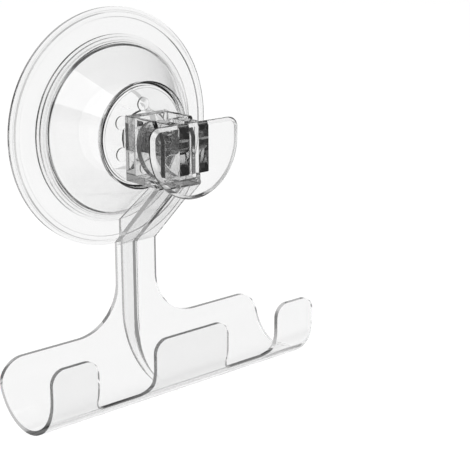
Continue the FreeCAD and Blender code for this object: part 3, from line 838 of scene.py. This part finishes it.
arm = prism("hook", [
    (back_front, kink_z),
    (back_front, floor_outer + wall, inner_arc),
    (front_inner, floor_outer + wall, inner_arc),
    (front_inner, axis_z + 3 * past),
    (front_outer, axis_z + 3 * past),
    (front_outer, floor_outer, outer_arc),
    (back_rear, floor_outer, outer_arc),
    (back_rear, kink_z + lean - wall),
    (head_front + lean - slant_room, head_foot + slant_room),
    (head_front, head_foot + slant_room),
    (head_front, head_foot),
], "X", -half_length - past, half_length + past, arm_clear)
print("channel", round(2 * half_length, 1), "mm long,", round(2 * outer_arc, 1), "mm deep")

# %% [markdown]
# ### The front view
# It is cut in three goes. The first takes away what lies beside the neck, with the wide flare that leads
# into the back wall. The second clears the space beside the slanted neck. The third cuts the gaps between
# the prongs. Left and right are mirror images, so one outline serves both.

# %% Neck and back wall, seen from the front
back_top = -70.0
flare = 17.5
back_corner = 9.0
far_side = half_length + 2 * past
below_kink = 5
over_head, under_kink = -5.0, kink_z - below_kink
before_lever = -60
for side in (1, -1):
    trim = prism("trim", [
        (side * neck_half, over_head),
        (side * neck_half, back_top, flare),
        (side * half_length, back_top, back_corner),
        (side * half_length, floor_outer - past),
        (side * far_side, floor_outer - past),
        (side * far_side, over_head),
    ], "Y", axis_y - cut_past, past, arm_clear)
    cut(arm, trim)
    stub = prism("stub", [
        (side * neck_half, over_head),
        (side * neck_half, under_kink),
        (side * far_side, under_kink),
        (side * far_side, over_head),
    ], "Y", before_lever, axis_y + cut_past / 2, arm_clear)
    cut(arm, stub)
print("back wall", round(volume_of(arm.data) / mm ** 3), "cubic mm with its front edge still whole")

# %% Prongs
prong_top = -64.5
prong_corner = 5.0
middle_prong = 16.1
outer_prong_from = 39.8
gap_floor = -83.8
gap_corner = 4.5
over_prongs = -55
sheet_round = 0.42
right = [
    (middle_prong, prong_top, prong_corner),
    (middle_prong, gap_floor, gap_corner),
    (outer_prong_from, gap_floor, gap_corner),
    (outer_prong_from, prong_top, prong_corner),
    (half_length, prong_top, prong_corner),
    (half_length, floor_outer - past),
    (far_side, floor_outer - past),
    (far_side, over_prongs),
]
left = [(-corner[0],) + corner[1:] for corner in reversed(right)]
cut(arm, prism("prongs", right + left, "Y", front_outer - past, axis_y + cut_past, arm_clear))
soften(arm, sheet_round)
print("bent sheet", len(arm.data.polygons), "faces,", round(volume_of(arm.data) / mm ** 3), "cubic mm")

# %% [markdown]
# ### The rib
# A thin rib runs down the wall side of the neck and round the channel's bottom. At the top it widens into
# a gusset that follows the cover's cone with a small space. Its front edge lies in the middle of the
# sheet, so that the join is solid all the way.

# %% Rib
rib_half = 1.2
rib_rear, rib_kink, rib_top = -4.95, -32.43, -26.19
sheet_middle = back_front + wall / 2
rib_round, rib_lift = 0.4, 0.02
rib_foot = floor_outer + rib_lift
rib = prism("rib", [
    (rib_rear, rib_kink),
    (rib_top, head_foot),
    (rib_top, head_foot + slant_room),
    (head_front + wall / 2, head_foot + slant_room),
    (sheet_middle, kink_z + lean / 2 - wall / 2),
    (sheet_middle, floor_outer + wall / 2, outer_arc - wall / 2),
    (axis_y, floor_outer + wall / 2),
    (axis_y, rib_foot),
    (rib_rear, rib_foot, rib_rear - axis_y),
], "X", -rib_half, rib_half, arm_clear)
soften(rib, rib_round)
cut(arm, rib, "UNION")
print("with its rib", round(volume_of(arm.data) / mm ** 3), "cubic mm")

# %% [markdown]
# ### The head
# It is a short box with an open front and top, in which the lever's cheeks turn. Its upper front corner
# is cut off at a slant, and the shaft comes in through its rear wall.

# %% Head
head_rear, head_top = -19.9, 8.0
slant_run, slant_drop = 3, 6
room_rear, room_half, room_floor = -24.15, 6.6, 2.2
head_round, low_limit = 0.35, 40.0
rear_wall_from, rear_wall_to = 18, 26
head = prism("head", [
    (head_rear, head_foot),
    (head_rear, head_top),
    (head_front + slant_run, head_top),
    (head_front, head_top - slant_drop),
    (head_front, head_foot),
], "X", -neck_half, neck_half, arm_clear)
cut(head, prism("room", [
    (room_rear, head_foot + room_floor),
    (room_rear, head_top + past),
    (head_front - past, head_top + past),
    (head_front - past, head_foot + room_floor),
], "X", -room_half, room_half, arm_clear))
soften(head, head_round, limit=low_limit)
cut(arm, head, "UNION")
cut(arm, shaft_room(rear_wall_from, rear_wall_to, shaft_gap, arm_clear))
finish(arm, "hook_arm", "cover_side")

# %% [markdown]
# ## The lever
# The thumb plate is a flat D: straight on top, half round below. Its edges have one wide flat bevel,
# which shows as the white band along the plate's left side: partly the bevel's own light, partly a painted
# highlight, as the faces round the rim take the plastic that hardly shows and lets light out almost whole.
# The plate could be cut from sheet, but then its edge would be square and dark.

# %% Thumb plate
plate_rear = -45.0
plate_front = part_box("lever")[0].y / mm
plate_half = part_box("lever")[1].x / mm
plate_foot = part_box("lever")[0].z / mm
plate_top, plate_corner, plate_bevel = 8.4, 4.0, 1.2
rim_slope = 0.3
lever = prism("thumb_lever", [
    (plate_half, plate_foot, plate_half),
    (plate_half, plate_top, plate_corner),
    (-plate_half, plate_top, plate_corner),
    (-plate_half, plate_foot, plate_half),
], "Y", plate_front, plate_rear, plate_clear)
soften(lever, plate_bevel, segments=1)
# The rim faces take the painted highlight plastic, which draws them as a light line.
clad(lever.data, rim_painted_highlight, lambda face: abs(face.normal.y) < rim_slope)
print("thumb plate", round(2 * plate_half, 1), "mm wide and", round(plate_top - plate_foot, 1), "mm high")

# %% [markdown]
# ### The cam cheeks
# Two cheeks stand behind the plate, with the stem's tongue between them. Their outline is the cam: from
# the open to the closed side its reach from the pin grows steadily with the angle, so the cover moves in
# step with the lever's turn. Each point of it is worked out where the cam would touch the head at one
# turn of the lever.

# %% Cam cheeks
pivot_y, pivot_z = -34.3, -0.5
cam_open, cam_throw = 8.0, 2.0
rise = cam_throw / (math.pi / 2)
cheek_half, tongue_room = 6.2, 2.2
cheek_foot = pivot_z - rise - cam_open - cam_throw
cheek_front_foot = -9.0
cheek_sunk, cheek_round = 1.5, 0.3
cheek_root = plate_rear - cheek_sunk
tongue_low, tongue_high, tongue_rear = -30, 30, -15
cam_steps = 30
cam = []
for step in range(cam_steps, -1, -1):
    share = step / cam_steps
    turn = math.pi / 2 * share
    reach = cam_open + cam_throw * share
    cam.append((pivot_y + reach * math.sin(turn) + rise * math.cos(turn),
                pivot_z + reach * math.cos(turn) - rise * math.sin(turn)))
# The cheeks' darker copy of the plate's plastic paints the shade inside the lock.
cheeks = prism("cheeks", [
    (cheek_root, pivot_z + cam_open),
    (cheek_root, cheek_front_foot),
    (plate_rear, cheek_front_foot),
    (pivot_y, cheek_foot),
    (pivot_y + cam_open + cam_throw, cheek_foot, cam_open + cam_throw),
] + cam, "X", -cheek_half, cheek_half, cheek_painted_shade)
cut(cheeks, block("tongue_room", (-tongue_room, plate_rear, tongue_low),
                  (tongue_room, tongue_rear, tongue_high), cheek_painted_shade))
soften(cheeks, cheek_round, limit=low_limit)
cut(lever, cheeks, "UNION")
print("cam reaches from", cam_open, "to", cam_open + cam_throw, "mm")

# %% [markdown]
# The bore for the pin is a square whose four corners are rounded with half its side, which makes a
# circle.

# %% The pin's bore
bore, bore_reach = 2.05, 10
quarters = ((-1, -1), (-1, 1), (1, 1), (1, -1))
corners = [(pivot_y + a * bore, pivot_z + b * bore, bore) for a, b in quarters]
cut(lever, prism("bore", corners, "X", -bore_reach, bore_reach, cheek_painted_shade))
finish(lever, "lever", "lever_side")
